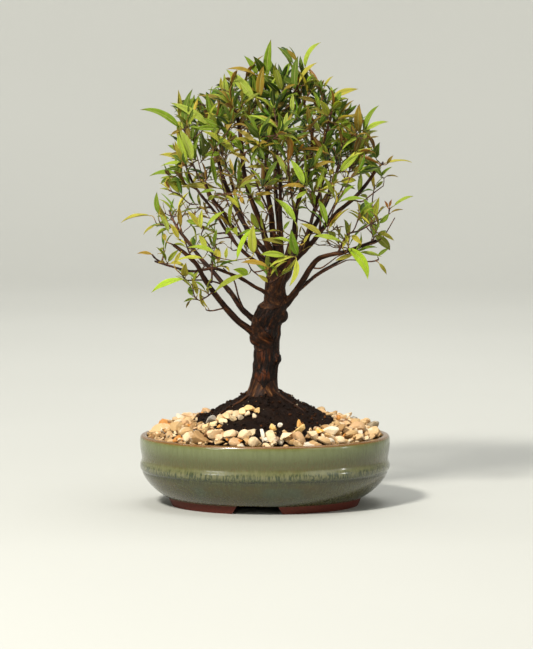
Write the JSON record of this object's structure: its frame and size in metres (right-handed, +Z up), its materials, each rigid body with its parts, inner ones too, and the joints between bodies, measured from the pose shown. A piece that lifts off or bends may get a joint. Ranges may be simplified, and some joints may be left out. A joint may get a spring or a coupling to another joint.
{
  "type": "bonsai tree in a pot",
  "caption": "Broadleaf bonsai with a bare forking trunk and fanned crown, growing from a gravel-dressed soil mound in an oval glazed pot with a footed base.",
  "frame": {"origin": "on the floor, under the middle of the pot, which is also the middle of the whole tree's box to within a few millimetres", "axes": "+Z up along the trunk, +X along the pot's long way, -Y towards the side that the tree is shown from"},
  "size_m": [0.2334, 0.1743, 0.3684],
  "materials": {
    "pot_glaze": "glossy olive and blue-grey running glaze over dark red clay, bare on the feet",
    "screen_plastic": "matte black drain mesh",
    "wet_soil": "dark damp crumbly soil",
    "gravel": "matte cream, tan and grey gravel",
    "bark": "dark red-brown furrowed bark, damp and slightly glossy",
    "leaf": "semi-gloss green leaf, lime to olive, rusty underneath"
  },
  "bodies": {
    "root": {"pot": "pot_glaze", "drain_screen_left": "screen_plastic", "drain_screen_right": "screen_plastic", "soil": "wet_soil", "gravel_bed": "gravel", "trunk": "bark", "root_left": "bark", "root_right": "bark", "bough_left_low_front": "bark", "bough_left_low_back": "bark", "bough_left_mid": "bark", "bough_left_upper_outer": "bark", "bough_left_upper_mid": "bark", "bough_left_upper_inner": "bark", "leader_left": "bark", "leader_centre": "bark", "leader_front": "bark", "leader_right": "bark", "bough_right_upper": "bark", "bough_right_low": "bark", "bough_right_thin": "bark", "bough_right_mid": "bark", "bough_back_left": "bark", "bough_back_right": "bark", "bough_back_centre": "bark", "bough_front_low": "bark", "shoot_left_low_tip": "leaf", "shoot_left_low_star": "leaf", "shoot_left_hanging": "leaf", "shoot_left_low_back_tip": "leaf", "shoot_left_low_back_side": "leaf", "shoot_left_mid_tip": "leaf", "shoot_left_mid_side": "leaf", "shoot_left_mid_upper": "leaf", "shoot_left_upper_tip": "leaf", "shoot_left_upper_side": "leaf", "shoot_left_front_tip": "leaf", "shoot_left_inner_tip": "leaf", "shoot_leader_left_tip": "leaf", "shoot_leader_left_front": "leaf", "shoot_leader_centre_tip": "leaf", "shoot_leader_centre_side": "leaf", "shoot_leader_front_tip": "leaf", "shoot_leader_front_side": "leaf", "shoot_leader_right_tip": "leaf", "shoot_leader_right_side": "leaf", "shoot_right_upper_tip": "leaf", "shoot_right_upper_side": "leaf", "shoot_right_upper_top": "leaf", "shoot_right_low_tip": "leaf", "shoot_right_low_side": "leaf", "shoot_right_low_up": "leaf", "shoot_right_thin_tip": "leaf", "shoot_right_mid_tip": "leaf", "shoot_back_left_tip": "leaf", "shoot_back_right_tip": "leaf", "shoot_back_centre_tip": "leaf", "shoot_front_low_tip": "leaf", "shoot_front_low_side": "leaf"}
  },
  "joints": []
}
